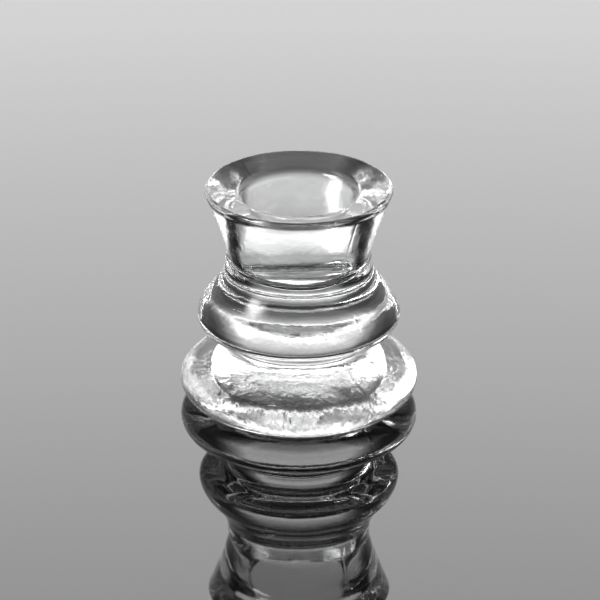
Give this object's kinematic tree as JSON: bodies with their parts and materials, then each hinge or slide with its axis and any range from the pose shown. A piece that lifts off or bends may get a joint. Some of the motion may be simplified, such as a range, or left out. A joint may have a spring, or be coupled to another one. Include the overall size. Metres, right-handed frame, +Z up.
{
  "type": "candle holder",
  "caption": "Short clear pressed-glass candlestick: disc foot, narrow waist, bulging ring, concave neck and flared rim round a tapered candle socket.",
  "frame": {"origin": "centre of the foot's underside, on the surface that it stands on", "axes": "+Z up along the axis that the outline is turned about, out of the candle socket's mouth"},
  "size_m": [0.05, 0.05, 0.0476],
  "materials": {
    "clear_glass": "fire-polished clear glass, colourless, slightly wavy, with fine mould seams"
  },
  "bodies": {
    "root": {"glass_body": "clear_glass"}
  },
  "joints": []
}
